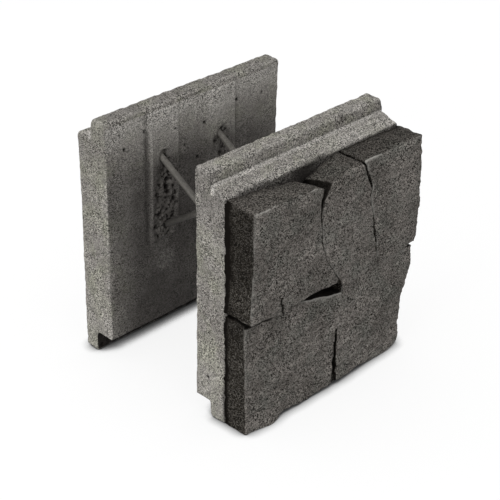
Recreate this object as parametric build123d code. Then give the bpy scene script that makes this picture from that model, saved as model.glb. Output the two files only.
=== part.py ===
from build123d import *
import os

# A half block for a dry-stacked retaining wall: a stone-faced front panel and a plain
# rear panel, cast in concrete and held apart by two crossed pairs of steel tie rods.
# The frame stands the block on z = 0 with its stone face towards -Y. All sizes in mm.

# Block
face_width = 610.0  # along the wall, one half module
course_height = 610.0  # foot to the outer edge of the ledge, one course
panel_thickness = 101.6  # each panel without its stone face
cavity_depth = 304.8  # clear space between the panels
stone_reach = 92.0  # furthest point of the stone in front of the backing

# Panel section
tongue_width = 51.0  # tongue along the inner half of the top
tongue_height = 51.0  # tongue top above the outer edge of the ledge
ledge_rise = 18.0  # the ledge climbs this much towards the tongue, to shed water
rabbet_width = 54.0  # step under the inner half, over the next tongue
face_rabbet_height = 42.0
rear_rabbet_height = 52.0
foot_chamfer = 5.0  # both lower edges of the foot
tongue_round = 9.0  # both upper edges of the tongue
ledge_foot_round = 10.0  # where the ledge meets the tongue
ledge_edge_round = 7.0  # outer edge of the ledge
end_round = 6.0  # upright edges at both ends of a panel

# Tie rods
rod_diameter = 16.0
tie_spacing = 203.2  # between the two crossed pairs
tie_shift = -10.0  # middle of the two pairs from the middle of the block
tie_high = 514.0  # height of the upper ends at the inner faces
tie_low = 322.0  # height of the lower ends at the inner faces
rod_embed = 62.0  # how far a rod runs into each panel
rod_clearance = 0.1  # round a rod in its socket
crossing_gap = 0.3  # between the two rods of a pair

# Marks of the form on the inner faces: a proud strip at each pair of ties, with a slot
# in it where the rods pass
strip_width = 96.0
strip_step = 4.0
strip_top_drop = 12.0  # from the tongue top to the top of a strip
strip_tail = 18.0  # strip below the lower rods
slot_width = 44.0
slot_depth = 9.0
slot_margin = 22.0  # slot past the rods, above and below

# Stone face
stone_drop = 8.0  # stone top below the outer edge of the ledge
stone_root = 6.0  # stones and bed start this far inside the backing
joint_width = 2.0  # between stones, at the backing
joint_mouth = 4.0  # between stones, at the front
arris = 2.5  # broken front edges of the stones
bed_reach = 36.0  # floor of the joints in front of the backing
bed_inset = 14.0  # bed inside the outline of the stones
bed_top_drop = 44.0  # bed below the stone tops
hollow_reach = 10.0  # floor of the open hollow in front of the backing

# Worked out
overall_depth = stone_reach + 2 * panel_thickness + cavity_depth
front_y = -overall_depth / 2  # furthest point of the stone
backing_y = front_y + stone_reach  # outer face of the front panel
face_inner_y = backing_y + panel_thickness
rear_inner_y = face_inner_y + cavity_depth
tongue_top = course_height + tongue_height
rod_offset = (rod_diameter + crossing_gap) / 2  # each rod from the middle of its pair
stone_top = (course_height - stone_drop) / course_height  # as a share, for the layout

# Layout of the stone face. A point is (across, up) as shares of the width and the course
# height, across from the middle, so that the pattern fills a face of any size.
left_joint = [(-0.090, stone_top - 0.020), (-0.118, 0.886), (-0.122, 0.808), (-0.088, 0.635)]
right_joint = [(0.122, stone_top), (0.149, 0.930), (0.179, 0.866), (0.168, 0.806), (0.204, 0.647)]
meeting = (0.010, 0.483)  # foot of the left joint on the bed joint
right_meeting = (0.240, 0.495)
left_end = (-0.497, 0.505)  # bed joint at the left return
right_end = (0.490, 0.489)
bed_joint_left = [left_end, (-0.318, 0.490), (-0.215, 0.493)]

upper_left_stone = [
    (-0.500, stone_top),
    (-0.300, stone_top - 0.003),
    *left_joint,
    meeting,
    *reversed(bed_joint_left),
]
upper_middle_stone = [
    *reversed(left_joint[1:]),
    (-0.074, stone_top - 0.018),  # the left joint gapes here, at its top
    (0.000, stone_top - 0.007),
    *right_joint,
    right_meeting,
    meeting,
]
upper_right_stone = [
    *reversed(right_joint),
    (0.497, stone_top - 0.006),
    (0.500, 0.850),
    (0.500, 0.700),
    (0.498, 0.600),
    right_end,
    right_meeting,
]
lower_stone = [
    *bed_joint_left,
    meeting,
    right_meeting,
    (0.485, 0.488),
    (0.476, 0.455),
    (0.483, 0.408),
    (0.461, 0.297),
    (0.449, 0.180),
    (0.451, 0.116),
    (0.470, 0.043),
    (0.466, 0.006),
    (0.280, 0.000),
    (0.240, 0.007),
    (0.155, 0.017),
    (0.113, 0.008),
    (0.030, 0.014),
    (-0.148, 0.000),
    (-0.287, 0.010),
    (-0.350, 0.000),
    (-0.495, 0.000),
]
hollow = [(-0.220, 0.492), (0.004, 0.482), (0.054, 0.437), (-0.082, 0.453)]
lower_crack = [(0.021, 0.252), (0.004, 0.125), (0.002, 0.0), (0.020, 0.0), (0.017, 0.125)]
short_crack = [(-0.320, 0.577), (-0.324, 0.545), (-0.320, 0.48), (-0.311, 0.48), (-0.315, 0.545)]

# Split faces of the stones. Each plane gives the reach in front of the backing at the
# face's lower left corner, and its gain across the full width and up the full course.
upper_left_planes = [(58.0, 12.0, 26.0), (110.0, 30.0, -18.0), (213.0, 167.0, -153.0)]
upper_middle_planes = [(96.0, -2.0, -14.0), (72.0, 24.0, 6.0), (204.0, 200.0, -229.0)]
upper_right_planes = [(87.0, -20.0, 26.0), (166.0, -40.0, -60.0)]
lower_planes = [(66.0, 20.0, -14.0), (104.0, -50.0, 55.0)]

# Tops of the two stones that fall away towards the joint between them. Each plane gives its
# depth under the stone tops at the backing, at the left and right ends of the face, and its
# climb from the backing to the furthest stone.
upper_left_crown = (-3.0, 58.0, 14.0)
upper_middle_crown = (84.0, -49.0, 15.0)


def rounded(section, spot, radius):
    corner = section.vertices().sort_by_distance(spot)[0]
    return fillet(corner, radius)


def panel_section(rabbet_height):
    # Section across the panel: x runs outwards from the inner face, y is up.
    foot_of_tongue = (tongue_width, course_height + ledge_rise)
    section = make_face(
        Polyline(
            (0, rabbet_height),
            (0, tongue_top),
            (tongue_width, tongue_top),
            foot_of_tongue,
            (panel_thickness, course_height),
            (panel_thickness, foot_chamfer),
            (panel_thickness - foot_chamfer, 0),
            (rabbet_width + foot_chamfer, 0),
            (rabbet_width, foot_chamfer),
            (rabbet_width, rabbet_height),
            close=True,
        )
    )
    section = rounded(section, (0, tongue_top), tongue_round)
    section = rounded(section, (tongue_width, tongue_top), tongue_round)
    section = rounded(section, foot_of_tongue, ledge_foot_round)
    return rounded(section, (panel_thickness, course_height), ledge_edge_round)


def tie_places():
    return [tie_shift - tie_spacing / 2, tie_shift + tie_spacing / 2]


def form_strip(x):
    # Proud strip on the inner face, rooted inside the panel.
    foot = tie_low - slot_margin - strip_tail
    head = tongue_top - strip_top_drop
    root = strip_step
    middle = Pos(x, (root - strip_step) / 2, (foot + head) / 2)
    return middle * Box(strip_width, root + strip_step, head - foot)


def rod_slot(x):
    # Round-ended slot through the strip and into the inner face.
    length = tie_high - tie_low + 2 * slot_margin
    outline = Rot(0, 0, 90) * SlotOverall(length, slot_width)
    mouth = Plane(origin=(x, -strip_step, (tie_high + tie_low) / 2), x_dir=(1, 0, 0), z_dir=(0, 1, 0))
    return extrude(mouth * outline, amount=slot_depth)


def plain_panel(rabbet_height):
    # Panel with its inner face on y = 0 and its outer face towards +Y.
    panel = extrude(Plane.YZ * panel_section(rabbet_height), amount=face_width / 2, both=True)
    uprights = panel.edges().filter_by(Axis.Z)
    panel = fillet(uprights, end_round)
    for x in tie_places():
        panel += form_strip(x)
        panel -= rod_slot(x)
    return panel


def tie_rod(x, face_height, rear_height, clearance=0.0):
    # Straight rod through both inner faces at the given heights, into both panels.
    climb = (rear_height - face_height) / cavity_depth
    start = Vector(x, face_inner_y - rod_embed, face_height - climb * rod_embed)
    end = Vector(x, rear_inner_y + rod_embed, rear_height + climb * rod_embed)
    along = (end - start).normalized()
    seat = Plane(origin=start - along * clearance, z_dir=along)
    length = (end - start).length + 2 * clearance
    return extrude(seat * Circle(rod_diameter / 2 + clearance), amount=length)


def all_rods(clearance=0.0):
    rods = {}
    for side, x in zip(("left", "right"), tie_places()):
        falling = tie_rod(x - rod_offset, tie_low, tie_high, clearance)
        rising = tie_rod(x + rod_offset, tie_high, tie_low, clearance)
        rods[side + "_falling_rod"] = falling
        rods[side + "_rising_rod"] = rising
    return rods


def to_size(layout):
    return [Vector(across * face_width, 0, up * course_height) for across, up in layout]


def inset(corners, amount):
    # Each corner moves inwards so that both its sides move in by the amount. The corners
    # run clockwise seen from the front, so inwards is to the right of each side.
    moved = []
    for before, corner, after in zip(corners[-1:] + corners, corners, corners[1:] + corners):
        arriving = (corner - before).normalized()
        leaving = (after - corner).normalized()
        inward = Vector(arriving.Z + leaving.Z, 0, -arriving.X - leaving.X)
        moved.append(corner + inward * (amount / (1 + arriving.dot(leaving))))
    return moved


def flat_at(corners, y):
    return make_face(Polyline(*[Vector(c.X, y, c.Z) for c in corners], close=True))


def split_at(corners, plane, setback):
    # The outline thrown onto a split plane, moved back from it by the setback.
    corner_reach, across_gain, up_gain = plane
    points = []
    for c in corners:
        gain = across_gain * (c.X / face_width + 0.5) + up_gain * c.Z / course_height
        points.append(Vector(c.X, backing_y - corner_reach - gain + setback, c.Z))
    return make_face(Polyline(*points, close=True))


def facet_plane(corner_reach, across_gain, up_gain):
    corner = Vector(-face_width / 2, backing_y - corner_reach, 0)
    across = Vector(face_width, -across_gain, 0)
    up = Vector(0, -up_gain, course_height)
    return Plane(origin=corner, x_dir=across, z_dir=across.cross(up))


def crown_plane(left_depth, right_depth, climb):
    corner = Vector(-face_width / 2, backing_y, course_height - stone_drop - left_depth)
    across = Vector(face_width, 0, left_depth - right_depth)
    outwards = Vector(0, -stone_reach, climb)
    return Plane(origin=corner, x_dir=across, z_dir=outwards.cross(across))


def stone(layout, planes, crown=None):
    # Lofted from its root to the rim of its main split plane, and in over the broken edge
    # to that plane. The other planes then hew it, and its crown where it has one.
    main, *others = planes
    corners = to_size(layout)
    root = flat_at(inset(corners, joint_width / 2), backing_y + stone_root)
    rim = split_at(inset(corners, joint_mouth / 2), main, arris)
    front = split_at(inset(corners, joint_mouth / 2 + arris), main, 0)
    block = loft([root, rim, front], ruled=True)
    facets = [facet_plane(*plane) for plane in others]
    facets.append(Plane(origin=(0, front_y, 0), z_dir=(0, -1, 0)))
    if crown:
        facets.append(crown_plane(*crown))
    for facet in facets:
        block = split(block, bisect_by=facet, keep=Keep.BOTTOM)
    return block


def opening(layout):
    # Prism out of the face, from the floor of the hollow to past the stones.
    floor = flat_at(to_size(layout), backing_y - hollow_reach)
    return extrude(floor, amount=2 * stone_reach, dir=(0, -1, 0))


def stone_face():
    # Stones, with a bed behind them that closes the joints.
    half = face_width / 2 - bed_inset
    low = bed_inset
    high = course_height - stone_drop - bed_top_drop
    bed_thickness = bed_reach + stone_root
    bed = Pos(0, backing_y + stone_root - bed_thickness / 2, (low + high) / 2)
    face = bed * Box(2 * half, bed_thickness, high - low)
    face += stone(upper_left_stone, upper_left_planes, upper_left_crown)
    face += stone(upper_middle_stone, upper_middle_planes, upper_middle_crown)
    face += stone(upper_right_stone, upper_right_planes)
    face += stone(lower_stone, lower_planes)
    for layout in (hollow, lower_crack, short_crack):
        face -= opening(layout)
    return face


def build_block():
    rear = Pos(0, rear_inner_y, 0) * plain_panel(rear_rabbet_height)
    face = Pos(0, face_inner_y, 0) * mirror(plain_panel(face_rabbet_height), about=Plane.XZ)
    face += stone_face()
    for socket in all_rods(rod_clearance).values():
        face -= socket
        rear -= socket
    return {"face_panel": face, "rear_panel": rear, **all_rods()}


os.makedirs("parts", exist_ok=True)
for name, shape in build_block().items():
    export_step(shape.solid(), "parts/" + name + ".step")
    box = shape.bounding_box()
    print(name, len(shape.solids()), "solid", round(shape.volume / 1e6, 3), "litres", box.min, box.max)
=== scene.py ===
import bpy
import itertools
import math
import numpy as np
from mathutils import Matrix


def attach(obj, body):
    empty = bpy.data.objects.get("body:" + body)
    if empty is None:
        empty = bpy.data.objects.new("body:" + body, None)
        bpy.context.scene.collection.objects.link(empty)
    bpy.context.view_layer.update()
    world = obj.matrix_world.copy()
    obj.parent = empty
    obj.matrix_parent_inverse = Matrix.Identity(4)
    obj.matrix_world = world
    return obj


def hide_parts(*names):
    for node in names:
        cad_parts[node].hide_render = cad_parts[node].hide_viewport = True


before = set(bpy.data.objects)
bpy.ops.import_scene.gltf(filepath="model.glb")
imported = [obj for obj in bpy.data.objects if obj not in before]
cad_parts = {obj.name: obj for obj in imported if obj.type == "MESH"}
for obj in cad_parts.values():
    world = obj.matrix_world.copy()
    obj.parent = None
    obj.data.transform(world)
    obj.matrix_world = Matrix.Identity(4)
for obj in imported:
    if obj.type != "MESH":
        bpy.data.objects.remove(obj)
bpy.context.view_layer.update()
print("frame loaded, nodes:", sorted(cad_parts))

# Sizes that the pieces share, in metres
block = {
    "width": 0.610,
    "course": 0.610,  # foot to the outer edge of the ledge
    "panel": 0.1016,  # thickness of a panel
    "backingY": -0.208,  # outer face of the front panel
    "faceInnerY": -0.1064,
    "rearInnerY": 0.1984,
}


# Numbers from -1 to 1 for whole-number lattice points, from a whole-number hash of each point.
def latticeValue(cell, seed):
    h = cell[..., 0] * 374761393 + cell[..., 1] * 668265263 + cell[..., 2] * 974634727
    h = h + seed * 144269504
    h = (h ^ (h >> 13)) * 1274126177
    h = (h ^ (h >> 15)) * 668265263
    h = h ^ (h >> 17)
    return (h & 0xFFFF) / 32767.5 - 1.0


# Value noise: lattice values, blended between the eight corners of a point's cell with the smooth
# step 3t^2 - 2t^3.
def smoothNoise(points, size, seed):
    place = points / size + 37.7
    cell = np.floor(place).astype(np.int64)
    part = place - cell
    part = part * part * (3.0 - 2.0 * part)
    total = np.zeros(len(points))
    for corner in itertools.product((0, 1), repeat=3):
        share = np.where(corner, part, 1.0 - part).prod(axis=1)
        total += share * latticeValue(cell + np.array(corner), seed)
    return total


# Layers of value noise, each half the size and the given share of the strength of the last.
def layeredNoise(points, size, seed, layers=4, share=0.5):
    total = np.zeros(len(points))
    strength = 1.0
    for layer in range(layers):
        total += strength * smoothNoise(points, size * 0.5**layer, seed + 11 * layer)
        strength *= share
    return total


# Air bubbles: at most one sphere in each cubic cell, in the given share of the cells. Where the
# surface passes through a sphere it dips by the root of radius^2 less distance^2.
def bubbleDepth(points, seed, size, radius, share):
    home = np.floor(points / size).astype(np.int64)
    depth = np.zeros(len(points))
    for step in itertools.product((-1, 0, 1), repeat=3):
        cell = home + np.array(step)
        sway = np.stack([latticeValue(cell, seed + k) for k in (1, 2, 3)], axis=1)
        centre = (cell + 0.5 + 0.4 * sway) * size
        ball = radius * (0.4 + 0.6 * np.abs(latticeValue(cell, seed + 4)))
        ball = np.where(latticeValue(cell, seed + 5) < 2.0 * share - 1.0, ball, 0.0)
        room = ball**2 - ((points - centre) ** 2).sum(axis=1)
        depth = np.maximum(depth, np.sqrt(np.maximum(room, 0.0)))
    return depth


# 0 up to the start, the strength from the end on, and the smooth step 3t^2 - 2t^3 between them.
# With an end below the start it falls as the value grows.
def rise(value, start, end, strength=1.0):
    t = np.clip((value - start) / (end - start), 0.0, 1.0)
    return strength * t * t * (3.0 - 2.0 * t)


# Points at shares of the length of a line through the stops.
def alongLine(stops, share):
    stops = np.asarray(stops, float)
    run = np.linalg.norm(np.diff(stops, axis=0), axis=1)
    reached = np.concatenate([[0.0], np.cumsum(run)])
    return np.stack([np.interp(share * reached[-1], reached, side) for side in stops.T], axis=1)


# Distance from each point to a line through the stops: on each segment the point's share along it,
# kept from 0 to 1, gives the nearest place.
def lineDistance(points, stops):
    stops = np.asarray(stops, float)
    nearest = np.full(len(points), np.inf)
    for start, end in zip(stops, stops[1:]):
        run = end - start
        share = np.clip((points - start) @ run / (run @ run), 0.0, 1.0)
        nearest = np.minimum(nearest, np.linalg.norm(points - start - share[:, None] * run, axis=1))
    return nearest


# A line of corners (x, y, radius), each rounded by an arc of its radius between its two tangent
# points, swung evenly about the arc's centre.
def roundedLine(corners, steps=7):
    corners = np.array(corners, float)
    line = [corners[:1, :2]]
    for before, at, after in zip(corners, corners[1:], corners[2:]):
        back = (before - at)[:2]
        on = (after - at)[:2]
        back = back / np.linalg.norm(back)
        on = on / np.linalg.norm(on)
        half = math.acos(back @ on) / 2
        middle = (back + on) / np.linalg.norm(back + on)
        side = (on - back) / np.linalg.norm(on - back)
        swing = np.linspace(-1, 1, steps)[:, None] * (math.pi / 2 - half)
        centre = at[:2] + middle * at[2] / math.sin(half)
        line.append(centre - at[2] * (middle * np.cos(swing) - side * np.sin(swing)))
    line.append(corners[-1:, :2])
    return np.concatenate(line)


# Coons patch: the straight blend of the four corners, plus what each side departs from the
# straight line between its ends. That fades across the patch with a power of the distance.
def coonsPatch(a, b, left, right, bottom, top, fade=1):
    patch = 0.0
    sides = ((left, b, 1 - a), (right, b, a), (bottom, a, 1 - b), (top, a, b))
    for side, share, near in sides:
        side = np.asarray(side, float)
        straight = side[0] + share[:, None] * (side[-1] - side[0])
        patch = patch + near[:, None] ** fade * (alongLine(side, share) - straight)
    low = left[0] + a[:, None] * (np.asarray(right[0]) - left[0])
    high = left[-1] + a[:, None] * (np.asarray(right[-1]) - left[-1])
    return patch + low + b[:, None] * (high - low)


# Surface of a block of lattice cells: a grid of quads on each of the six sides, turned outwards,
# with the points that two sides share made one. Axes run first, second, third, right-handed.
def boxLattice(counts):
    shape = np.array(counts) + 1
    quads = []
    for axis in range(3):
        u, v = (axis + 1) % 3, (axis + 2) % 3
        for end in (0, counts[axis]):
            at = [None, None, None]
            at[u], at[v] = np.meshgrid(np.arange(shape[u]), np.arange(shape[v]), indexing="ij")
            at[axis] = np.full_like(at[u], end)
            code = np.ravel_multi_index(at, shape)
            quad = [code[:-1, :-1], code[1:, :-1], code[1:, 1:], code[:-1, 1:]]
            quad = np.stack(quad, axis=-1).reshape(-1, 4)
            quads.append(quad if end else quad[:, ::-1])
    used, faces = np.unique(np.concatenate(quads), return_inverse=True)
    lattice = np.stack(np.unravel_index(used, shape), axis=1) / np.array(counts)
    return lattice, faces.reshape(-1, 4)


# Rounds the edge between two faces: of the distances from the two, one of which is nought, makes
# the distances of the matching point of a quarter circle that touches both faces.
def roundEdge(first, second, radius):
    inFirst, inSecond = np.maximum(first, radius), np.maximum(second, radius)
    outFirst, outSecond = first - inFirst, second - inSecond
    scale = radius / np.maximum(np.hypot(outFirst, outSecond), max(radius, 1e-9))
    return inFirst + outFirst * scale, inSecond + outSecond * scale


# Unit normals: the cross products of the diagonals of the quads round each point, added up.
def surfaceNormals(points, faces):
    a, b, c, d = (points[faces[:, k]] for k in range(4))
    flat = np.repeat(np.cross(c - a, d - b), 4, axis=0)
    corners = faces.ravel()
    normals = np.stack([np.bincount(corners, part, len(points)) for part in flat.T], axis=1)
    return normals / np.linalg.norm(normals, axis=1, keepdims=True)


# Puts arrays of points and quads into a mesh object, with its marks as point attributes.
def makePiece(name, points, faces, material, marks):
    mesh = bpy.data.meshes.new(name)
    mesh.vertices.add(len(points))
    mesh.vertices.foreach_set("co", points.astype(np.float32).ravel())
    mesh.loops.add(faces.size)
    mesh.loops.foreach_set("vertex_index", faces.astype(np.int32).ravel())
    mesh.polygons.add(len(faces))
    mesh.polygons.foreach_set("loop_start", np.arange(0, faces.size, 4, dtype=np.int32))
    mesh.polygons.foreach_set("use_smooth", np.ones(len(faces), bool))
    mesh.update(calc_edges=True)
    mesh.validate()
    for mark, values in marks.items():
        layer = mesh.attributes.new(mark, "FLOAT", "POINT")
        layer.data.foreach_set("value", values.astype(np.float32))
    mesh.materials.append(material)
    piece = bpy.data.objects.new(name, mesh)
    bpy.context.collection.objects.link(piece)
    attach(piece, "root")
    print(name, "quads:", len(faces))
    return piece


# Shader helpers: a new node, with its properties set and its sockets set or linked
def addNode(tree, kind, sockets=None, **values):
    node = tree.nodes.new(kind)
    for name, value in values.items():
        setattr(node, name, value)
    setSockets(tree, node, sockets or {})
    return node


def setSockets(tree, node, sockets):
    for key, value in sockets.items():
        socket = node.inputs[key]
        if isinstance(value, bpy.types.NodeSocket):
            tree.links.new(value, socket)
        elif socket.type == "RGBA":
            socket.default_value = (*value, 1.0)
        else:
            socket.default_value = value


def noiseNode(tree, vector, scale, detail, rough=0.6):
    sockets = {"Vector": vector, "Scale": scale, "Detail": detail, "Roughness": rough}
    return addNode(tree, "ShaderNodeTexNoise", sockets).outputs["Fac"]


def rampNode(tree, source, low, high, outLow=0.0, outHigh=1.0):
    sockets = {"Value": source, "From Min": low, "From Max": high, "To Min": outLow, "To Max": outHigh}
    return addNode(tree, "ShaderNodeMapRange", sockets, clamp=True).outputs["Result"]


def mathNode(tree, operation, first, second):
    return addNode(tree, "ShaderNodeMath", {0: first, 1: second}, operation=operation).outputs["Value"]


def times(tree, first, second):
    return mathNode(tree, "MULTIPLY", first, second)


def plus(tree, first, second):
    return mathNode(tree, "ADD", first, second)


# Where a mix node keeps the sockets of its colours
mixPlace = {"factor": 0, "first": 6, "second": 7, "result": 2}


def mixColour(tree, factor, first, second, blend="MIX"):
    sockets = {mixPlace["factor"]: factor, mixPlace["first"]: first, mixPlace["second"]: second}
    node = addNode(tree, "ShaderNodeMix", sockets, data_type="RGBA", blend_type=blend)
    return node.outputs[mixPlace["result"]]


# A colour made lighter or darker by a tone
def toned(tree, colour, tone):
    spread = addNode(tree, "ShaderNodeCombineColor", {"Red": tone, "Green": tone, "Blue": tone})
    return mixColour(tree, 1.0, colour, spread.outputs["Color"], "MULTIPLY")


def attributeNode(tree, name):
    return addNode(tree, "ShaderNodeAttribute", attribute_name=name).outputs["Fac"]


# Cells round random middles: the random tone of the cell, and the distance from its middle
def cellNode(tree, vector, scale):
    cells = addNode(tree, "ShaderNodeTexVoronoi", {"Vector": vector, "Scale": scale}).outputs
    parts = addNode(tree, "ShaderNodeSeparateColor", {"Color": cells["Color"]})
    return parts.outputs["Red"], cells["Distance"]


def newGroup(name, inputs, outputs):
    group = bpy.data.node_groups.new(name, "ShaderNodeTree")
    for way, sockets in (("INPUT", inputs), ("OUTPUT", outputs)):
        for socket in sockets:
            kind = "NodeSocketVector" if socket == "Vector" else "NodeSocketFloat"
            group.interface.new_socket(socket, in_out=way, socket_type=kind)
    start = group.nodes.new("NodeGroupInput")
    return group, start.outputs, group.nodes.new("NodeGroupOutput")


# Scales count the cells of the sand, and ranges are where a ramp starts and ends
grainForm = {
    "sand": 0.85,
    "grit": 0.15,
    "gritScale": 0.5,
    "middle": 0.5,  # of tones that run from 0 to 1
    "swing": 2.2,
    "patchScale": 0.14,
    "patchSwing": 0.45,
    "sandyScale": 0.045,
    "sandy": (0.38, 0.62, 0.55, 1.10),
    "darkest": 0.12,
    "speck": (0.70, 0.84),
    "poreScale": 0.80,
    "pore": (0.34, 0.27),
}


# Sand and stone grains of cast concrete: cells of random tone in two sizes, stronger where the
# skin is sandy, light specks and small dark pores. Tone runs about 1, and Height is for bump.
def grainGroup():
    g = grainForm
    group, given, end = newGroup(
        "concreteGrain", ("Vector", "Size", "Contrast"), ("Tone", "Speck", "Pore", "Height")
    )
    sockets = {0: given["Vector"], 1: given["Size"]}
    place = addNode(group, "ShaderNodeVectorMath", sockets, operation="DIVIDE").outputs["Vector"]
    sand = times(group, cellNode(group, place, 1.0)[0], g["sand"])
    grit = times(group, cellNode(group, place, g["gritScale"])[0], g["grit"])
    mixed = plus(group, sand, grit)
    patch = noiseNode(group, place, g["patchScale"], 3.0)
    swing = times(group, plus(group, mixed, -g["middle"]), g["swing"])
    slow = times(group, plus(group, patch, -g["middle"]), g["patchSwing"])
    sandy = rampNode(group, noiseNode(group, place, g["sandyScale"], 3.0, 0.55), *g["sandy"])
    swing = times(group, times(group, plus(group, swing, slow), given["Contrast"]), sandy)
    setSockets(group, end, {
        "Tone": mathNode(group, "MAXIMUM", plus(group, swing, 1.0), g["darkest"]),
        "Speck": rampNode(group, mixed, *g["speck"]),
        "Pore": rampNode(group, noiseNode(group, place, g["poreScale"], 2.0, 0.7), *g["pore"]),
        "Height": mixed,
    })
    return group


# Scale, detail and roughness of each noise, the ramp over it, and how it is stretched along x, y, z
blotchForm = {
    "Blotch": (9.0, 5.0, 0.62, (0.36, 0.64), (1.0, 1.0, 1.0)),
    "Streak": (34.0, 3.0, 0.5, (0.38, 0.62), (1.0, 1.0, 0.06)),
    "Tint": (14.0, 3.0, 0.6, (0.46, 0.66), (1.0, 1.0, 1.0)),
}


# Blotches of damp, dust and cement skin, slow over the surface, with upright streaks, and the
# spots that an olive growth tints
def blotchGroup():
    group, given, end = newGroup("cementBlotch", ("Vector",), blotchForm)
    for name, (scale, detail, rough, ramp, stretch) in blotchForm.items():
        mapped = addNode(group, "ShaderNodeMapping", {"Vector": given["Vector"], "Scale": stretch})
        noise = noiseNode(group, mapped.outputs["Vector"], scale, detail, rough)
        setSockets(group, end, {name: rampNode(group, noise, *ramp)})
    return group


concreteGrain = grainGroup()
cementBlotch = blotchGroup()


def useGroup(tree, group, **sockets):
    return dict(addNode(tree, "ShaderNodeGroup", sockets, node_tree=group).outputs.items())


def newMaterial(name):
    material = bpy.data.materials.new(name)
    material.use_nodes = True
    return material, material.node_tree


# A material from its look. The blotches blend the first two colours, and each layer lays a colour
# over them by a mask and its strength, or the grain's tone where it has no colour. Masks come
# from the shared groups, are made for the look, or are marks of the piece.
def makeMaterial(name, look, ownMasks=None):
    material, tree = newMaterial(name)
    place = addNode(tree, "ShaderNodeTexCoord").outputs["Object"]
    masks = useGroup(tree, concreteGrain, Vector=place, Size=look["grain"], Contrast=look["contrast"])
    masks.update(useGroup(tree, cementBlotch, Vector=place))
    if ownMasks:
        masks.update(ownMasks(tree, look, place, masks))
    first, second = list(look["colours"].values())[:2]
    colour = mixColour(tree, masks["Blotch"], first, second)
    for key, strength, over in look["layers"]:
        mask = masks[key] if key in masks else attributeNode(tree, key)
        if over:
            colour = mixColour(tree, times(tree, mask, strength), colour, look["colours"][over])
        else:
            colour = toned(tree, colour, mask)
    height, strength = look["bump"]
    bump = {"Height": masks["Height"], "Distance": height, "Strength": strength}
    normal = addNode(tree, "ShaderNodeBump", bump).outputs["Normal"]
    sockets = {"Base Color": colour, "Normal": normal, **look["shader"]}
    if "rough" in look:
        sockets["Roughness"] = rampNode(tree, masks["Blotch"], 0.0, 1.0, *look["rough"])
    setSockets(tree, tree.nodes["Principled BSDF"], sockets)
    return material


bareLook = {
    "colours": {
        "shade": (0.196, 0.184, 0.168),
        "cement": (0.268, 0.255, 0.236),
        "olive": (0.232, 0.232, 0.182),
        "paintedShade": (0.100, 0.093, 0.087),
        "pore": (0.060, 0.056, 0.052),
        "deepShade": (0.016, 0.014, 0.013),
        "pale": (0.350, 0.335, 0.312),
    },
    # paintedShade, creviceShade, gaps and deepShade lay painted shade; pale lays chips, strips, spots and
    # painted light
    "layers": [
        ("Tint", 0.65, "olive"), ("Streak", 0.45, "shade"), ("paintedShade", 1.0, "paintedShade"), ("pale", 1.0, "pale"),
        ("creviceShade", 1.0, "pore"), ("Tone", 1.0, None), ("Pore", 0.5, "pore"), ("comb", 0.35, "shade"),
        ("gaps", 1.0, "deepShade"), ("deepShade", 1.0, "deepShade"),
    ],
    "grain": 0.0020,
    "contrast": 1.25,
    "calm": 0.40,  # how far a smooth form stills the grain
    "pebble": 0.0075,
    "between": (0.40, 0.66),  # where the gaps between pebbles start, in their sizes
    "looseScale": 70.0,
    "loose": (0.40, 0.58),
    "bump": (0.0010, 0.6),
    "shader": {"Roughness": 0.92, "Specular IOR Level": 0.05},
}


# On bare concrete a smooth form stills the grain and shows streaks, and honeycomb has gaps
# between its pebbles, painted near black as shade.
def bareMasks(tree, look, place, masks):
    form = attributeNode(tree, "form")
    calm = plus(tree, times(tree, form, -look["calm"]), 1.0)
    swing = times(tree, plus(tree, masks["Tone"], -1.0), calm)
    between = rampNode(tree, cellNode(tree, place, 1.0 / look["pebble"])[1], *look["between"])
    loose = rampNode(tree, noiseNode(tree, place, look["looseScale"], 2.0), *look["loose"])
    return {
        "Streak": times(tree, masks["Streak"], form),
        "Tone": plus(tree, swing, 1.0),
        "Pore": times(tree, masks["Pore"], calm),
        "gaps": times(tree, attributeNode(tree, "comb"), times(tree, between, loose)),
    }


faceLook = {
    "colours": {
        "shade": (0.114, 0.104, 0.094),
        "skin": (0.186, 0.171, 0.156),
        "olive": (0.118, 0.124, 0.110),
        "side": (0.0230, 0.0203, 0.0168),
        "pore": (0.018, 0.016, 0.014),
        "speck": (0.210, 0.198, 0.180),
        "worn": (0.34, 0.33, 0.305),
        "gloom": (0.006, 0.005, 0.004),
    },
    # side is the darker stain of the returns; worn lays wear and a painted highlight on top edges; gloom lays
    # painted shade
    "layers": [
        ("Tint", 0.45, "olive"), ("side", 1.0, "side"), ("Tone", 1.0, None), ("Speck", 0.42, "speck"),
        ("Pore", 0.35, "pore"), ("worn", 1.0, "worn"), ("gloom", 1.0, "gloom"),
    ],
    "grain": 0.0020,
    "contrast": 1.75,
    "bump": (0.0012, 0.7),
    "shader": {"Roughness": 0.9, "Specular IOR Level": 0.03},
}

rodLook = {
    "colours": {
        "bar": (0.074, 0.069, 0.060),
        "cement": (0.140, 0.131, 0.117),
        "rust": (0.060, 0.043, 0.031),
        "shade": (0.050, 0.046, 0.041),
    },
    "layers": [("Pore", 0.7, "rust"), ("splash", 1.0, "cement"), ("paintedShade", 1.0, "shade"), ("Tone", 1.0, None)],
    "grain": 0.0022,
    "contrast": 0.35,
    "rough": (0.5, 0.8),  # on bare bar and on cement
    "bump": (0.0006, 0.5),
    "shader": {"Metallic": 0.25},
}

bareMaterial = makeMaterial("bareConcrete", bareLook, bareMasks)
faceMaterial = makeMaterial("faceStone", faceLook)
rodMaterial = makeMaterial("tieSteel", rodLook)
print("materials ready")

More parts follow.
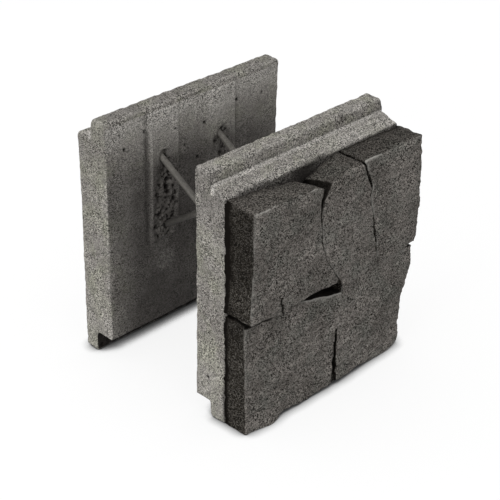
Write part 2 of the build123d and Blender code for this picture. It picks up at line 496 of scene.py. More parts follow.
panelForm = {
    "tongueWidth": 0.051,
    "tongueTop": 0.661,
    "ledgeRise": 0.018,
    "rabbetWidth": 0.054,
    "footChamfer": 0.005,
    "tongueRound": 0.009,
    "ledgeFootRound": 0.003,
    "ledgeEdgeRound": 0.0045,
    "footRound": 0.002,
    "endRound": 0.007,
    "skin": 0.0010,  # the cast faces lie this much inside their mould
    "grid": 0.0040,  # spacing of the surface points
}

# Places and radii of the spots on the inner faces are in millimetres
panels = {
    "rearPanel": {
        "node": "rear_panel",
        "innerY": block["rearInnerY"],
        "outwards": 1,
        "rabbetHeight": 0.052,
        "seed": 3,
        "brokenEnd": 0.0,
        "wornFoot": 0.020,  # rounding of the outer lower corner at the left end
        "backingShade": 0.0,
        "tongueTopShade": 0.40,
        "endUpperShade": 0.18,
        "honeycomb": [(-113, 352, 40), (-108, 395, 42), (-100, 446, 34), (-118, 322, 32), (-84, 368, 26),
                      (82, 505, 22)],
        "airHoles": [(24, 630, 3.8), (63, 624, 3.4), (146, 589, 4.4), (31, 562, 5.0), (-40, 521, 4.2),
                     (6, 472, 5.0), (-243, 574, 4.4), (-176, 601, 3.6), (-256, 615, 3.6), (-74, 579, 3.2),
                     (124, 639, 3.6), (241, 582, 3.8)],
        "pale": [(-111, 219, 30)],
    },
    "facePanel": {
        "node": "face_panel",
        "innerY": block["faceInnerY"],
        "outwards": -1,
        "rabbetHeight": 0.042,
        "seed": 5,
        "brokenEnd": 0.009,  # broken off the upper part of the right end
        "wornFoot": 0.0,
        "backingShade": 0.85,  # painted shade under the edge of the ledge, above the stones
        "tongueTopShade": 0.0,
        "endUpperShade": 0.40,
        "honeycomb": [(-108, 470, 30), (90, 360, 28)],
        "airHoles": [(-210, 540, 4), (180, 300, 3.6), (20, 240, 4)],
        "pale": [],
    },
}

tieForm = {
    "spacing": 0.2032,
    "shift": -0.010,
    "high": 0.514,
    "low": 0.322,
    "embed": 0.062,
    "radius": 0.008,
    "fallingSide": -0.00815,
    "risingSide": 0.00815,
}

stripForm = {
    "width": 0.096,
    "step": 0.004,
    "head": 0.660,
    "foot": 0.282,
    "slotWidth": 0.036,
    "wander": 0.0015,
    "slotRagged": 0.010,
    "combRagged": 0.016,
    "lipFrom": (0.33, 0.40),
    "lipWidth": 0.003,
    # left and right edge of each strip: its ramp, depth and width of its groove, paleness of its lip, a
    # painted highlight
    "edges": [
        [(0.002, 0.75, 0.0075, 0.55), (0.003, 0.15, 0.003, 0.70)],
        [(0.016, 0.0, 0.003, 0.0), (0.002, 0.6, 0.0018, 0.5)],
    ],
}


# The four sides of a panel's section, outwards from the inner face and up: two straight faces,
# the stepped foot with its rabbet, and the tongue and sloping ledge.
def panelSides(rabbetHeight):
    f = panelForm
    t, course, c = block["panel"], block["course"], f["footChamfer"]
    foot = [
        (0, rabbetHeight, 0),
        (f["rabbetWidth"], rabbetHeight, f["footRound"]),
        (f["rabbetWidth"], c, f["footRound"]),
        (f["rabbetWidth"] + c, 0, f["footRound"]),
        (t - c, 0, f["footRound"]),
        (t, c, 0),
    ]
    head = [
        (0, f["tongueTop"] - f["tongueRound"] * 2, 0),
        (0, f["tongueTop"], f["tongueRound"]),
        (f["tongueWidth"], f["tongueTop"], f["tongueRound"]),
        (f["tongueWidth"], course + f["ledgeRise"], f["ledgeFootRound"]),
        (t, course, f["ledgeEdgeRound"]),
        (t, course - f["ledgeEdgeRound"] * 2, 0),
    ]
    bottom, top = roundedLine(foot), roundedLine(head)
    return [bottom[0], top[0]], [bottom[-1], top[-1]], bottom, top


# A panel as a block of lattice points: its section is a Coons patch between four sides, and runs
# along the length, with the edges round both ends rounded.
def panelSurface(rabbetHeight):
    inner, outer, bottom, top = panelSides(rabbetHeight)
    size = np.array([block["panel"], inner[1][1] - inner[0][1], block["width"]])
    counts = np.rint(size / panelForm["grid"]).astype(int)
    counts[0] = round(2.2 * counts[0])  # the head and the foot are longer than the thickness
    lattice, faces = boxLattice(counts)
    a, b, c = lattice.T
    skin = np.minimum(np.minimum(a, 1 - a) * size[0], np.minimum(b, 1 - b) * size[1])
    end = np.minimum(c, 1 - c) * size[2]
    edge = np.maximum(skin, end)
    inset, fromEnd = roundEdge(skin, end, panelForm["endRound"])
    a = np.clip(a, inset / size[0], 1 - inset / size[0])
    b = np.clip(b, inset / size[1], 1 - inset / size[1])
    along = np.where(c < 0.5, fromEnd - size[2] / 2, size[2] / 2 - fromEnd)
    out, up = coonsPatch(a, b, inner, outer, bottom, top, 6).T
    onInner = rise(-lattice[:, 0], -0.5 / counts[0], 0.0) * (end > 0)
    return out, up, along, faces, edge, onInner


# Distance from the nearest of the section's outer corners, where concrete chips.
def cornerDistance(out, up, rabbetHeight):
    f = panelForm
    corners = np.array([
        (0, rabbetHeight),
        (f["rabbetWidth"], 0),
        (block["panel"], 0),
        (0, f["tongueTop"]),
        (f["tongueWidth"], f["tongueTop"]),
        (block["panel"], block["course"]),
    ])
    section = np.stack([out, up], axis=1)
    return np.min([np.linalg.norm(section - corner, axis=1) for corner in corners], axis=0)


def tiePlaces():
    return [tieForm["shift"] - tieForm["spacing"] / 2, tieForm["shift"] + tieForm["spacing"] / 2]


# Marks of the form on an inner face, all with wandering edges: 1 on the proud strips, a soft groove
# and a pale lip, painted as a highlight, along their upright edges, and 1 in the rough slots that
# the rods come out of. The honeycomb is 1 in the spots (x, z, radius) where the mix didn't fill the form.
def formMarks(points, spots):
    s = stripForm
    x, z = points[:, 0], points[:, 2]
    wander = s["wander"] * smoothNoise(points, 0.02, 71)
    ragged = layeredNoise(points, 0.035, 72, 3)
    strip, slot, comb, groove, lip = np.zeros((5, len(points)))
    for place, edges in zip(tiePlaces(), s["edges"]):
        ends = rise(s["head"] - z, 0.0, 0.02) * rise(z - s["foot"] + wander, -0.002, 0.006)
        inside = ends
        for turn, (ramp, deep, wide, pale) in zip((-1, 1), edges):
            fromEdge = s["width"] / 2 - turn * (x - place) - wander
            inside = inside * rise(fromEdge, -ramp, ramp)
            groove = np.maximum(groove, deep * ends * np.exp(-((fromEdge / wide + 1.6) ** 2)))
            light = pale * ends * rise(z, *s["lipFrom"])
            lip = np.maximum(lip, light * np.exp(-((fromEdge / s["lipWidth"] - 1) ** 2)))
        strip = np.maximum(strip, inside)
        middle = place + (tieForm["fallingSide"] + tieForm["risingSide"]) / 2
        rods = [(middle, tieForm["low"]), (middle, tieForm["high"])]
        away = lineDistance(points[:, [0, 2]], rods) + s["slotRagged"] * ragged
        slot = np.maximum(slot, rise(s["slotWidth"] / 2 - away, -0.004, 0.004))
    for spotX, spotZ, radius in np.array(spots) / 1000:
        away = np.hypot(x - spotX, z - spotZ) + s["combRagged"] * ragged
        comb = np.maximum(comb, rise(radius - away, -0.006, 0.006))
    return np.array([strip, slot, comb, groove, lip])


# Round air holes (x, z, radius) in an inner face, as deep as a ball.
def airHoleDepth(points, holes):
    depth = np.zeros(len(points))
    for x, z, radius in np.array(holes) / 1000:
        room = radius**2 - (points[:, 0] - x) ** 2 - (points[:, 2] - z) ** 2
        depth = np.maximum(depth, np.sqrt(np.maximum(room, 0.0)))
    return depth


# Cast relief: noises as (height, size), and bubbles as (seed, size of the cells, radius, share)
castForm = {
    "waves": (0.0010, 0.13),
    "sand": (0.0009, 0.013),
    "smooth": 0.7,  # share of the sand that an inner face lacks
    "bubbles": [(0, 0.034, 0.0050, 0.30), (40, 0.014, 0.0026, 0.30)],
    "comb": (80, 0.016, 0.0100, 0.60),
    "groove": 0.0015,
    "chipSpread": 0.006,
    "chips": (0.0040, 0.022),
    "wear": 0.0004,
    "holes": (0.005, 0.02),
    "slow": (1.0, 0.10),
    "patches": (1.0, 0.05),
    "wornFoot": (-0.20, -0.29),  # where along x the worn corner of a foot comes in
}

# Zones of a panel's marks: the axes that they go by, start and end on each in millimetres, and
# strength. Out is the distance from the foot of the tongue.
zones = {
    "chips": [("up", 5, 30, 0.75)],
    # Where the painted shade on the inner face is strong: away from the open left end, higher up, and less at
    # the lit right end
    "shelter": [("x", -305, -195, 0.90)],
    "shelterHigh": [("up", 260, 420, 0.75)],
    "litRightEnd": [("x", 200, 300, 0.35)],
    "paintedShade": [("up", 600, 465)],
    "paleTop": [("up", 545, 645)],
    "paleStrip": [("up", 480, 560, 0.30)],
    "ledge": [("up", 600, 606)],
    "ledgeRim": [("out", 0.2, 1.6), ("out", 13.5, 8.5)],
    "ledgeLight": [("x", -50, 120, 0.45)],
    "backing": [("out", 47, 49.5), ("up", 607, 602)],
    "eaten": [("out", 42.5, 46.5, 0.85), ("x", 60, 20), ("up", 300, 350)],
    "black": [("up", 607, 603)],
    "leftEnd": [("x", -298, -303)],
    "returnCrevice": [("ragged", 40, 50.6), ("ragged", 40, 50.6), ("up", 600, 580)],
    "endGrey": [("up", 150, 450, 0.17)],
    "endUpperShade": [("up", 450, 620)],
    "endLight": [("up", 250, 100, 0.25)],
    "top": [("up", 655, 659)],
    "formTop": [("up", 590, 640, 0.8)],
    "formLeft": [("x", -235, -290, 0.7)],
    "combPit": [("comb", 2, 6.5)],
    "broken": [("up", 575, 625), ("x", 262, 300)],
}


# A cast panel: its smooth surface, moved along its normals by slow waves, sand, strips, bubbles,
# chipped edges, slots and honeycomb, with marks for the material.
def makePanel(name, form):
    c, seed, outwards = castForm, form["seed"], form["outwards"]
    out, up, along, faces, edge, onInner = panelSurface(form["rabbetHeight"])
    x = along * outwards
    fromFace, raised = roundEdge(block["panel"] - out, up, form["wornFoot"])
    worn = rise(x, *c["wornFoot"])
    out = out + worn * (block["panel"] - fromFace - out)
    up = up + worn * (raised - up)
    points = np.stack([x, form["innerY"] + outwards * out, up], axis=1)
    normals = surfaceNormals(points, faces)
    strip, slot, honey, groove, lip = onInner * formMarks(points, form["honeycomb"])
    hole = np.maximum(slot, honey)
    bare = 1.0 - hole
    shift = points + seed

    def noise(kind, step, layers=3, share=0.5):
        height, size = c[kind]
        return height * layeredNoise(shift, size, seed + step, layers, share)

    def zone(kind):
        return np.prod([rise(1000 * place[axis], *ends) for axis, *ends in zones[kind]], axis=0)

    bubble = onInner * airHoleDepth(points, form["airHoles"])
    for step, *ball in c["bubbles"]:
        bubble = np.maximum(bubble, bubbleDepth(shift, seed + step, *ball))
    step, *ball = c["comb"]
    comb = bubbleDepth(shift, seed + step, *ball)
    patches = noise("patches", 6)
    fromFoot = out - panelForm["tongueWidth"]
    place = {"x": x, "up": up, "out": fromFoot, "ragged": fromFoot + 0.006 * patches, "comb": comb}
    chip = np.exp(-np.minimum(edge, cornerDistance(out, up, form["rabbetHeight"])) / c["chipSpread"])
    chip = chip * (0.25 + zone("chips"))
    relief = noise("waves", 1, 1) - panelForm["skin"]
    relief += (1.0 - c["smooth"] * onInner) * noise("sand", 2, 3, 0.6)
    relief += stripForm["step"] * strip - c["groove"] * groove
    relief -= bare * bubble
    relief -= chip * (c["wear"] + np.maximum(noise("chips", 3), 0.0))
    relief -= hole * (c["holes"][0] + noise("holes", 4) + comb)

    # Painted shade on the inner face, lower down and away from its open ends
    sheltered = np.maximum(0.10 + zone("shelter"), zone("shelterHigh")) * (1 - zone("litRightEnd"))
    paintedShade = zone("paintedShade") * sheltered + 0.10 * noise("slow", 5) - 0.25 * lip
    # Pale parts: painted highlights on the strips' lips and near the top, and paler strips and spots
    pale = np.maximum(0.65 * lip * np.clip(0.8 + patches, 0, 1), zone("paleTop") + 0.15 * patches)
    pale = pale + strip * zone("paleStrip")
    for spotX, spotZ, radius in np.array(form["pale"]) / 1000:
        pale = np.maximum(pale, 0.25 * rise(radius - np.hypot(x - spotX, up - spotZ), -0.012, 0.008))

    # Painted light on the ledge and low on the left end, painted shade on the backing, in corners and rabbets
    ledgeTop = block["course"] + panelForm["ledgeRise"]
    onLedge = zone("ledge") * (up < ledgeTop + 0.002)
    leftEnd = zone("leftEnd")
    # Painted light along the ledge by the tongue, on part of the ledge and low on the left end
    light = np.maximum(onLedge * zone("ledgeRim"), leftEnd * zone("endLight"))
    light = np.maximum(light, onLedge * (fromFoot > 0) * zone("ledgeLight"))
    inCorner = np.exp(-np.hypot(fromFoot, up - ledgeTop) / 0.005) * (fromFoot < 0.0004)
    inRabbet = (out < panelForm["rabbetWidth"] + 0.0006) * (up < form["rabbetHeight"] + 0.0006)
    backing = np.maximum(zone("backing"), zone("eaten") * np.clip(0.75 + patches, 0, 1))
    black = backing * np.exp(-(((x + 0.045) / 0.060) ** 2)) * zone("black")
    backing = np.maximum(backing, zone("returnCrevice") * leftEnd)
    # Painted shade: the left end darker towards its top, and the top of the tongue
    grey = leftEnd * (zone("endGrey") + form["endUpperShade"] * zone("endUpperShade"))
    grey = np.maximum(grey, form["tongueTopShade"] * zone("top"))
    # deepShade: air holes, honeycomb pits, the notch under the ledge and the rabbet painted near black as
    # shade
    deepShade = np.clip((bubble - 0.0006) / 0.0022, 0, 1) * bare + hole * zone("combPit")
    # creviceShade: painted shade in the strips' grooves, the ledge's inner corner, the rabbet and on the
    # backing
    creviceShade = groove * (0.8 + 0.5 * patches) + 0.6 * inCorner + 0.9 * inRabbet
    marks = {
        "deepShade": deepShade + form["backingShade"] * black + 0.75 * inRabbet,
        "comb": hole,
        "form": onInner * (1 - zone("formTop")) * (1 - zone("formLeft")),
        "paintedShade": np.clip(np.where(onInner > 0, onInner * paintedShade, grey), 0, 1),
        "pale": np.clip(np.where(onInner > 0, onInner * pale, np.maximum(0.40 * chip, light)), 0, 1),
        "creviceShade": np.clip(creviceShade + form["backingShade"] * backing, 0, 1),
    }
    points = points + normals * relief[:, None]
    points[:, 0] -= form["brokenEnd"] * zone("broken") * (1 + 0.5 * patches)
    points[:, 0] = np.clip(points[:, 0], -block["width"] / 2, block["width"] / 2)
    outer = form["innerY"] + outwards * block["panel"]
    points[:, 1] = np.minimum(points[:, 1] * outwards, outer * outwards) * outwards
    points[:, 2] = np.clip(points[:, 2], 0.0, panelForm["tongueTop"])
    piece = makePiece(name, points, faces, bareMaterial, marks)
    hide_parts(form["node"])


for name, form in panels.items():
    makePanel(name, form)

# Stone face, laid out as in the mould: (across, up) in thousandths of the width and the course,
# across from the middle
stoneTop = 987
leftJoint = [(10, 483), (-2, 516), (-45, 580), (-88, 635), (-114, 722), (-124, 808), (-125, 872), (-124, 908),
             (-110, 936), (-92, 967)]
rightJoint = [(240, 495), (204, 647), (168, 806), (168, 822), (179, 866), (153, 920), (142, 958),
              (122, stoneTop)]
bedLeft = [(-497, 505), (-318, 490), (-215, 493), (10, 483)]
hollowFloor = [(-215, 490), (-116, 466), (-29, 446), (48, 430), (56, 480)]

# What a stone has where its own dictionary doesn't say otherwise
plainStone = {
    "joints": {},  # half the width of the joint at the start, middle and end of a side
    "crownFall": (0.0, 0.0),  # how far the top falls at the backing, at its left and right
    "overhung": (0.0001, -1.0),  # share of the height that painted shade under the stone above covers, and up to which x
    # shares of the top edge between which it is rounded off, by which radius, and how much of the
    # pale rim that takes away
    "softTop": (2.0, -1.0, 0.005, 0.0),
    # how far a stone's tops are darkened towards black; on the lower stone this is painted shade under the
    # stones above
    "topGloom": 0.0,
    "sideGloom": (0.0, 0.0, 1.0),  # painted shade on the left side, and between which shares of the height it comes in
    "swellings": [],  # (x, z, size, height) on the split face
}

# Each stone: its four sides, the pale rim of its left edge, and the planes of its split face
stones = {
    "upperLeftStone": {
        "left": [(-497, 505), (-500, stoneTop)],
        "right": [(-8, 500), *leftJoint[1:-1], (-104, 952)],
        "bottom": [*bedLeft[:-1], (-134, 512), (-83, 509), (-8, 500)],
        "top": [(-500, stoneTop), (-300, 984), (-150, 973), (-104, 952)],
        "joints": {"right": (0.0018, 0.0003, 0.0030), "bottom": (0.0052, 0.0022, 0.0012)},
        "crownFall": (-0.003, 0.012),
        "softTop": (-0.2, 0.10, 0.015, 0.3),
        "wornLeft": 0.55,
        "sideGloom": (0.40, 0.20, 0.42),
        "planes": [(72, 6, 17), (126, -66, -18)],
    },
    "upperMiddleStone": {
        "left": leftJoint,
        "right": rightJoint,
        "bottom": [(10, 483), (240, 495)],
        "top": [(-90, 967), (0, 980), (122, stoneTop)],
        "joints": {
            "left": (0.0018, 0.0004, 0.0085),
            "right": (0.0006, 0.0010, 0.0020),
            "bottom": (0.0004, 0.0004, 0.0004),
        },
        "crownFall": (0.016, -0.002),
        "softTop": (0.40, 1.02, 0.022, 0.95),
        "wornLeft": 0.40,
        "sideGloom": (0.85, 0.70, 0.85),
        "planes": [(94, -2, -6), (73, 24, 7), (113, -36, 0)],
    },
    "upperRightStone": {
        "left": rightJoint,
        "right": [(486, 491), (497, 525), (497, 562), (491, 603), (490, 640), (498, 675), (488, 717),
                  (492, 786), (498, 840), (494, 890), (498, 923), (497, 981)],
        "bottom": [(240, 495), (486, 491)],
        "top": [(122, stoneTop), (497, 981)],
        "joints": {"left": (0.0006, 0.0010, 0.0022), "bottom": (0.0004, 0.0006, 0.0020)},
        "softTop": (0.48, 0.90, 0.022, 0.95),
        "wornLeft": 0.80,
        "topGloom": 0.22,
        "planes": [(87, -20, 26), (115, -13, -25)],
    },
    "lowerStone": {
        "left": [(-493, 0), (-497, 505)],
        "right": [(463, 8), (465, 43), (454, 81), (446, 116), (443, 149), (444, 180), (447, 240), (456, 297),
                  (464, 324), (474, 380), (478, 408), (471, 441), (472, 469), (480, 488)],
        "bottom": [(-493, 0), (-350, 0), (-321, 6), (-287, 16), (-252, 14), (-180, 8), (-148, 5), (-113, 8),
                   (-41, 15), (30, 20), (70, 16), (113, 13), (154, 23), (197, 20), (243, 12), (289, 0),
                   (425, 0), (463, 8)],
        "top": [*bedLeft[:2], *hollowFloor, (240, 495), (480, 488)],
        "joints": {"top": (0.0040, 0.0015, 0.0022)},
        "overhung": (0.040, -0.090),
        "wornLeft": 0.22,
        "topGloom": 0.90,
        "sideGloom": (0.40, 0.60, 0.90),
        "planes": [(66, 20, -14), (104, -50, 55)],
        "swellings": [(-0.232, 0.000, 0.045, 0.011), (0.222, 0.000, 0.050, 0.006)],
    },
}

stoneForm = {
    "root": 0.006,  # how far the stones start inside the backing
    "edgeRound": 0.0042,
    "spare": 0.0012,  # free sides stand out this much, as the rounding takes it off
    "grid": 0.0025,
    "furthest": 0.092,
    "jointStops": (0.0, 0.30, 0.80, 0.95),  # shares of a side where its joint's widths hold
    # outline and faces as (height, size, seed, layers)
    "sway": (0.0018, 0.03, 91, 1),
    "ripple": (0.0012, 0.012, 97, 2),
    "lumps": (0.0030, 0.09, 21, 2),
    "splits": (0.0022, 0.026, 22, 4, 0.6),
    "layering": (1.0, 1.0, 1.9),  # splits are flatter than wide
    "sideRelief": 0.55,
    "rimWidth": 0.0045,
}

# Cracks: a line from its closed end, half the width there and at its open end, and the depth
cracks = {
    "lower": {"line": [(21, 262), (10, 125), (11, -10)], "widths": (0.0014, 0.0060), "depth": 0.035},
    "short": {
        "line": [(-331, 566), (-335, 545), (-326, 528), (-321, 485)],
        "widths": (0.0004, 0.0012),
        "depth": 0.010,
    },
}


# Metres from thousandths of the width and the course.
def faceLine(places):
    return np.array(places) / 1000 * np.array([block["width"], block["course"]])


# How far the split face stands in front of the backing: the lower of the stone's planes, each
# given in millimetres by its reach at the lower left corner and its gain across and up, plus a
# bell curve for each swelling.
def splitReach(x, z, form):
    across, up = x / block["width"] + 0.5, z / block["course"]
    planes = [corner + gain * across + climb * up for corner, gain, climb in form["planes"]]
    reach = np.min(planes, axis=0) * 0.001
    for middleX, middleZ, size, height in form["swellings"]:
        reach = reach + height * np.exp(-((x - middleX) ** 2 + (z - middleZ) ** 2) / size**2)
    return np.minimum(reach, stoneForm["furthest"])


# A stone as a block of lattice points: across and up are a Coons patch between its four sides,
# and depth runs from the backing to the split face. Its edges are rounded as a box's would be.
def stoneSurface(form):
    s = stoneForm
    left, right, bottom, top = (faceLine(form[side]) for side in ("left", "right", "bottom", "top"))
    size = [np.linalg.norm(top[-1] - top[0]), np.linalg.norm(left[-1] - left[0]), s["furthest"]]
    size = np.array(size)
    counts = np.maximum(np.rint(size / s["grid"]), 4).astype(int)
    counts[2] = counts[2] * 2 // 3
    lattice, faces = boxLattice(counts)
    start, end, softRound, fade = form["softTop"]
    blunt = rise(lattice[:, 0] - start, -0.10, 0.10) * rise(end - lattice[:, 0], -0.10, 0.10)
    blunt = (blunt * rise(lattice[:, 1], 0.55, 0.85))[:, None]
    radius = s["edgeRound"] + (softRound - s["edgeRound"]) * blunt
    box = lattice * size
    inner = np.clip(box, radius, size - radius)
    inner[:, 2] = np.clip(box[:, 2], 0, size[2] - radius[:, 0])
    away = box - inner
    far = np.linalg.norm(away, axis=1, keepdims=True)
    a, b, outwards = ((inner + away * np.minimum(1.0, radius / np.maximum(far, 1e-9))) / size).T
    gap = {}
    for side, share in (("left", b), ("right", b), ("bottom", a), ("top", a)):
        first, middle, last = form["joints"].get(side, [-s["spare"]] * 3)
        gap[side] = np.interp(share, s["jointStops"], (first, middle, middle, last))
    a = a + (gap["left"] * (1 - a) - gap["right"] * a) / size[0]
    b = b + (gap["bottom"] * (1 - b) - gap["top"] * b) / size[1]
    x, z = coonsPatch(a, b, left, right, bottom, top).T
    fallLeft, fallRight = form["crownFall"]
    fall = (1 - outwards) + 0.9 * np.exp(-outwards / 0.13)
    z = z - rise(b, 0.8, 1.0) * fall * (fallLeft + (fallRight - fallLeft) * a)
    depth = outwards * (splitReach(x, z, form) + s["root"]) - s["root"]
    points = np.stack([x, block["backingY"] - depth, z], axis=1)
    front = (lattice[:, 2] == 1.0).astype(float)
    rim = np.min(np.minimum(lattice[:, :2], 1 - lattice[:, :2]) * size[:2], axis=1)
    return points, faces, front, rim, outwards, a, b, 1 - fade * blunt[:, 0]


# Sideways and upright sway of an outline, by two noises of one size.
def outlineSway(points, height, size, seed, layers):
    sideways, upright = (layeredNoise(points, size, seed + step, layers) for step in (0, 1))
    return height * np.stack([sideways, np.zeros(len(points)), upright], axis=1)


# Where a stone's marks start and end, and how strong they are: by the way the surface faces, by
# shares across and up, or by distance from a crack's edge
stoneMarks = {
    "above": (0.35, 0.75),
    "onLeft": (-0.4, -0.8),
    "onSide": (0.75, 0.25),
    "cut": (-0.0008, 0.0012),
    "opened": (-0.0032, -0.0012),
    "topCrevice": (0.9, 0.98),
    "leftCrevice": (0.03, 0.005),
    "leftRim": (0.06, 0.01),
    "topRim": (0.93, 0.99, 0.78),
}


# A stone: its smooth surface, with its outline swayed and its faces moved along their normals by
# split relief, cracks cut in, and marks for the material.
def makeStone(name, form):
    s = stoneForm
    points, faces, front, rim, outwards, across, climb, keptRim = stoneSurface(form)
    normals = surfaceNormals(points, faces)
    points = points + outlineSway(points, *s["sway"]) + outlineSway(points, *s["ripple"])

    def mark(value, kind):
        return rise(value, *stoneMarks[kind])

    (lump, *lumps), (split, *splits) = s["lumps"], s["splits"]
    relief = lump * layeredNoise(points, *lumps)
    relief += split * layeredNoise(points * np.array(s["layering"]), *splits)
    facing = np.clip(-normals[:, 1], 0, 1)
    above = mark(normals[:, 2], "above")
    relief *= s["sideRelief"] + (1 - s["sideRelief"]) * facing
    opened = np.zeros(len(points))
    for crack in cracks.values():
        line = faceLine(crack["line"])
        closed, wide = crack["widths"]
        width = closed + (wide - closed) * rise(line[0, 1] - points[:, 2], 0.0, line[0, 1] - line[-1, 1])
        away = lineDistance(points[:, [0, 2]], line) + 0.0010 * smoothNoise(points, 0.012, 93)
        relief -= crack["depth"] * front * mark(width - away, "cut")
        opened = np.maximum(opened, front * mark(width - away, "opened"))

    # Pale rims: wear, and a painted highlight along the top edges
    patchy = np.clip(0.60 + 1.7 * layeredNoise(points, 0.032, 94, 4, 0.7), 0, 1)
    worn = np.exp(-rim / s["rimWidth"]) * front * patchy * keptRim
    # Gloom: painted shade in the crevices along the backing, in open cracks, under the stone above, on tops
    # and on left sides
    crevice = mark(climb, "topCrevice") * np.exp(-outwards / 0.10)
    fromBacking = np.maximum(outwards - 0.125 - 0.07 * layeredNoise(points, 0.05, 99, 3), 0.0)
    crevice = np.maximum(crevice, mark(across, "leftCrevice") * np.exp(-fromBacking / 0.070))
    below, until = form["overhung"]
    shaded = rise(climb - 1, -1.25 * below, -0.85 * below) * rise(until - points[:, 0], 0.0, 0.06)
    shaded = shaded * front * np.clip(0.85 + 0.6 * layeredNoise(points, 0.03, 96, 2), 0, 1)
    dark = np.maximum(crevice, opened) + shaded + form["topGloom"] * above * (1 - front)
    sideGloom, low, high = form["sideGloom"]
    dark = dark + sideGloom * mark(normals[:, 0], "onLeft") * rise(climb, low, high)
    leftWorn = form["wornLeft"] * mark(across, "leftRim")
    marks = {
        "worn": worn * np.maximum(0.22 + mark(climb, "topRim"), leftWorn),
        "side": np.maximum(mark(facing, "onSide") * (1.0 - 0.34 * above), opened),
        "gloom": np.clip(dark, 0, 1),
    }
    points = points + normals * relief[:, None]
    points[:, 0] = np.clip(points[:, 0], -block["width"] / 2, block["width"] / 2)
    points[:, 1] = np.maximum(points[:, 1], block["backingY"] - s["furthest"])
    points[:, 2] = np.maximum(points[:, 2], 0.0005)
    piece = makePiece(name, points, faces, faceMaterial, marks)


for name, form in stones.items():
    makeStone(name, {**plainStone, **form})

bedForm = {"inset": 0.014, "reach": 0.036, "topDrop": 0.052, "grid": 0.006}


# Floor of the joints: a rough slab behind the stones, painted near black as shade except at its right end
def makeJointBed():
    size = np.array([
        block["width"] - 2 * bedForm["inset"],
        block["course"] - bedForm["topDrop"] - bedForm["inset"],
        bedForm["reach"] + stoneForm["root"],
    ])
    lattice, faces = boxLattice(np.rint(size / bedForm["grid"]).astype(int))
    box = lattice * size
    x = box[:, 0] - size[0] / 2
    y = block["backingY"] + stoneForm["root"] - box[:, 2]
    points = np.stack([x, y, box[:, 1] + bedForm["inset"]], axis=1)
    normals = surfaceNormals(points, faces)
    points = points + normals * (0.003 * layeredNoise(points, 0.03, 95, 3))[:, None]
    marks = {
        "worn": np.zeros(len(points)),
        "side": np.ones(len(points)),
        "gloom": 0.8 * rise(-x, -0.262, -0.240),
    }
    piece = makePiece("jointBed", points, faces, faceMaterial, marks)


makeJointBed()


# A rod as a block of lattice points: the square section is drawn out to a disc, each side by the
# root of 1 less half the square of the other, and runs along the axis with cement lumps on it.
def makeRod(name, node, x, faceHeight, rearHeight, seed):
    climb = (rearHeight - faceHeight) / (block["rearInnerY"] - block["faceInnerY"])
    start = np.array([x, block["faceInnerY"] - tieForm["embed"], faceHeight - climb * tieForm["embed"]])
    end = np.array([x, block["rearInnerY"] + tieForm["embed"], rearHeight + climb * tieForm["embed"]])
    length = np.linalg.norm(end - start)
    along = (end - start) / length
    side = np.array([1.0, 0.0, 0.0])
    up = np.cross(along, side)
    lattice, faces = boxLattice(np.array([8, 8, round(length / 0.003)]))
    p, q = 2 * lattice[:, 0] - 1, 2 * lattice[:, 1] - 1
    disc = np.stack([p * np.sqrt(1 - q * q / 2), q * np.sqrt(1 - p * p / 2)], axis=1) * tieForm["radius"]
    axis = start + lattice[:, 2:] * (end - start)
    points = axis + disc[:, :1] * side + disc[:, 1:] * up
    normals = surfaceNormals(points, faces)
    lumps = np.maximum(layeredNoise(points, 0.018, seed, 3) - 0.35, 0.0)
    relief = 0.0003 * layeredNoise(points, 0.012, seed + 1, 2) + 0.0018 * lumps
    # Cement splashes, and painted shade on the rods below about 0.4 m
    marks = {"splash": np.clip(lumps * 3.0, 0, 1), "paintedShade": rise(-points[:, 2], -0.43, -0.37)}
    piece = makePiece(name, points + normals * relief[:, None], faces, rodMaterial, marks)
    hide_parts(node)


low, high = tieForm["low"], tieForm["high"]
for number, (side, place) in enumerate(zip(("left", "right"), tiePlaces())):
    falling, rising = place + tieForm["fallingSide"], place + tieForm["risingSide"]
    makeRod(side + "FallingRod", side + "_falling_rod", falling, low, high, 200 + number)
    makeRod(side + "RisingRod", side + "_rising_rod", rising, high, low, 210 + number)

# Painted shade on the floor by ambient occlusion, as a line at the feet and dark under the rabbets: reach,
# and shares of open sky for black and white
floorLook = {
    "reach": 30.0,
    "colour": (0.22, 0.22, 0.22),
    "shadowShare": 0.17,
    "contact": (0.035, 0.30, 0.92),
    "overhang": (0.070, 0.28, 0.52),
    "shader": {"Roughness": 0.9, "Specular IOR Level": 0.0},
}
white = (1.0, 1.0, 1.0)


# 1 for the rays that show the background: from the camera, mirrored or through glass
def seenDirectly(tree):
    path = addNode(tree, "ShaderNodeLightPath").outputs
    seen = mathNode(tree, "MAXIMUM", path["Is Camera Ray"], path["Is Glossy Ray"])
    return mathNode(tree, "MAXIMUM", seen, path["Is Transmission Ray"])


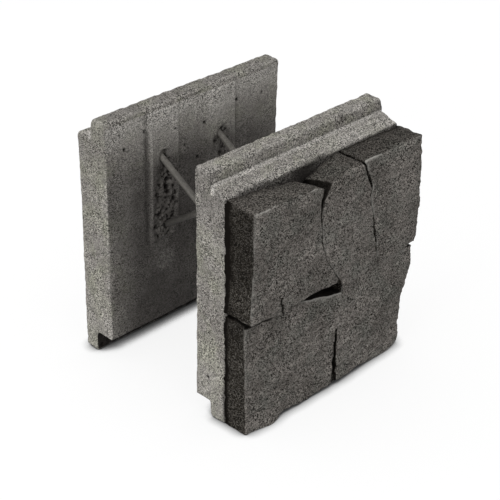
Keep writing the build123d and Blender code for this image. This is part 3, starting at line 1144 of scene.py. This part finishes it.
# Floor: a plain pale sheet. The camera, and mirror-like rays, see it white, with the block's
# shadow on it, and painted shade by ambient occlusion: a darker line close to its feet and dark under its
# rabbets.
def makeFloor():
    r = floorLook["reach"]
    mesh = bpy.data.meshes.new("floor")
    mesh.from_pydata([(-r, -r, 0), (r, -r, 0), (r, r, 0), (-r, r, 0)], [], [(0, 1, 2, 3)])
    floor = bpy.data.objects.new("floor", mesh)
    bpy.context.collection.objects.link(floor)
    material, tree = newMaterial("paleFloor")
    shader = tree.nodes["Principled BSDF"]
    seen = seenDirectly(tree)
    colour = mixColour(tree, seen, floorLook["colour"], white)
    setSockets(tree, shader, {"Base Color": colour, **floorLook["shader"]})
    light = 1.0
    for reach, low, high in (floorLook["contact"], floorLook["overhang"]):
        sky = addNode(tree, "ShaderNodeAmbientOcclusion", {"Distance": reach}).outputs["AO"]
        light = times(tree, rampNode(tree, sky, low, high), light)
    glow = addNode(tree, "ShaderNodeEmission", {"Strength": light}).outputs["Emission"]
    factor = times(tree, seen, 1.0 - floorLook["shadowShare"])
    mix = addNode(tree, "ShaderNodeMixShader", {0: factor, 1: shader.outputs["BSDF"], 2: glow})
    setSockets(tree, tree.nodes["Material Output"], {"Surface": mix.outputs["Shader"]})
    mesh.materials.append(material)


def makeSky():
    world = bpy.data.worlds.new("softSky")
    bpy.context.scene.world = world
    world.use_nodes = True
    tree = world.node_tree
    setSockets(tree, tree.nodes["Background"], {"Color": white, "Strength": 1.0})


# Stands a camera or lamp at a place, looking along minus back, rolled by an angle: the columns of
# its matrix are right, up and back.
def aim(thing, place, back, roll):
    right = np.cross([0.0, 0.0, 1.0], back)
    right = right / np.linalg.norm(right)
    up = np.cross(back, right)
    turned = right * math.cos(roll) + up * math.sin(roll)
    raised = up * math.cos(roll) - right * math.sin(roll)
    matrix = np.eye(4)
    matrix[:3, :] = np.stack([turned, raised, back, place], axis=1)
    thing.matrix_world = Matrix(matrix.tolist())


leftLamp = {"from": (-4.2, -0.5, 1.2), "at": (0.0, 0.0, 0.3), "size": 2.4, "power": 85.0}


def makeLamp(name, form):
    data = bpy.data.lights.new(name, "AREA")
    data.shape = "DISK"
    data.size = form["size"]
    data.energy = form["power"]
    lamp = bpy.data.objects.new(name, data)
    bpy.context.collection.objects.link(lamp)
    place = np.array(form["from"])
    back = place - np.array(form["at"])
    aim(lamp, place, back / np.linalg.norm(back), 0.0)


viewpoint = {
    "azimuth": -46.766,
    "elevation": 29.003,
    "roll": 1.014,
    "place": (-2.4210, -2.2714, 2.1211),
    "focalPixels": 1496.4,
    "imagePixels": 500,
    "sensor": 36.0,
}


def makeCamera():
    view = viewpoint
    data = bpy.data.cameras.new("camera")
    data.sensor_width = view["sensor"]
    data.lens = view["focalPixels"] / view["imagePixels"] * view["sensor"]
    camera = bpy.data.objects.new("camera", data)
    bpy.context.collection.objects.link(camera)
    turn, lift = math.radians(view["azimuth"]), math.radians(view["elevation"])
    back = np.array([math.sin(turn) * math.cos(lift), -math.cos(turn) * math.cos(lift), math.sin(lift)])
    aim(camera, np.array(view["place"]), back, math.radians(view["roll"]))
    bpy.context.scene.camera = camera


makeFloor()
makeSky()
makeLamp("leftLamp", leftLamp)
makeCamera()
bpy.context.scene.view_settings.view_transform = "Standard"
print("stage, lamps and camera ready")
